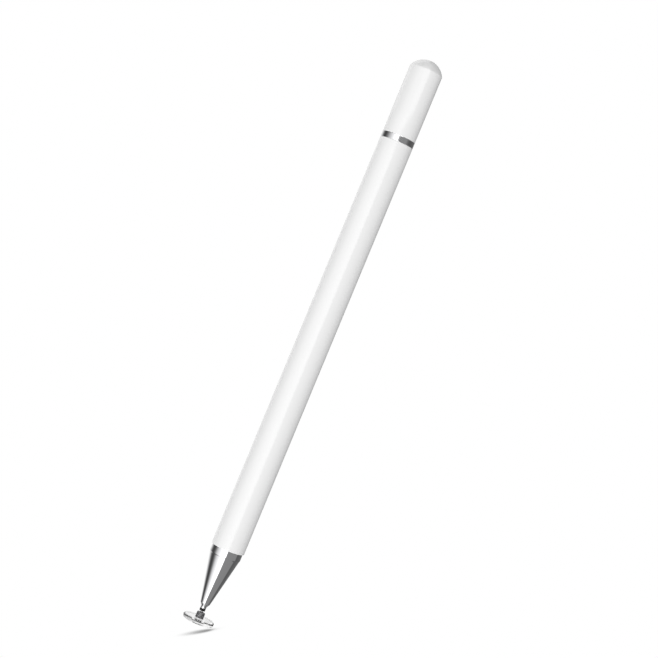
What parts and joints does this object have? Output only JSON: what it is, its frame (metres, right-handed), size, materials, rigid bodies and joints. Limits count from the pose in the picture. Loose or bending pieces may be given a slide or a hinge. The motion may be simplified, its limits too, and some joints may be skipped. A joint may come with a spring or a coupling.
{
  "type": "stylus pen",
  "caption": "Round stylus pen with a metal nose cone, a clear disc tip on a ball joint that tilts and turns, and a domed cap held by a magnet that pulls off the tail.",
  "frame": {"origin": "centre of the disc's lower face, the face that touches the screen, on the pen's axis", "axes": "+Z along the pen's axis from the tip to the domed tail; the pen is round, so X and Y are any two directions square to it"},
  "size_m": [0.0094, 0.0094, 0.1657],
  "materials": {
    "white_lacquer": "gloss white lacquer on aluminium",
    "bright_chrome": "mirror-polished chrome plate",
    "satin_steel": "fine-turned satin steel",
    "dark_steel": "blackened steel",
    "black_rubber": "matt black rubber",
    "clear_plastic": "clear polished polycarbonate",
    "brass": "turned brass",
    "magnet": "nickel-plated magnet",
    "plug_plastic": "dark grey moulded plastic"
  },
  "bodies": {
    "pen": {"barrel_tube": "white_lacquer", "front_magnet": "magnet", "front_bush": "brass", "nose_cone": "bright_chrome", "tip_ferrule": "bright_chrome", "neck_ring": "black_rubber", "tail_plug": "plug_plastic", "tail_magnet": "magnet"},
    "pin": {"ball_pin": "dark_steel"},
    "socket": {"socket_collar": "satin_steel"},
    "disc": {"disc_plate": "clear_plastic", "contact_hub": "satin_steel"},
    "cap": {"cap_shell": "white_lacquer", "cap_ring": "bright_chrome"}
  },
  "joints": [
    {"name": "pin_turn", "type": "hinge", "parent": "pen", "child": "pin", "pos_m": [0, 0, 0.0023], "axis": [0, 0, 1], "continuous": true},
    {"name": "disc_tilt", "type": "hinge", "parent": "pin", "child": "socket", "pos_m": [0, 0, 0.0023], "axis": [1, 0, 0], "range_deg": [-25, 25]},
    {"name": "disc_turn", "type": "hinge", "parent": "socket", "child": "disc", "pos_m": [0, 0, 0.0023], "axis": [0, 0, 1], "continuous": true},
    {"name": "cap_pull", "type": "slide", "parent": "pen", "child": "cap", "axis": [0, 0, 1], "range_m": [0, 0.03]}
  ]
}
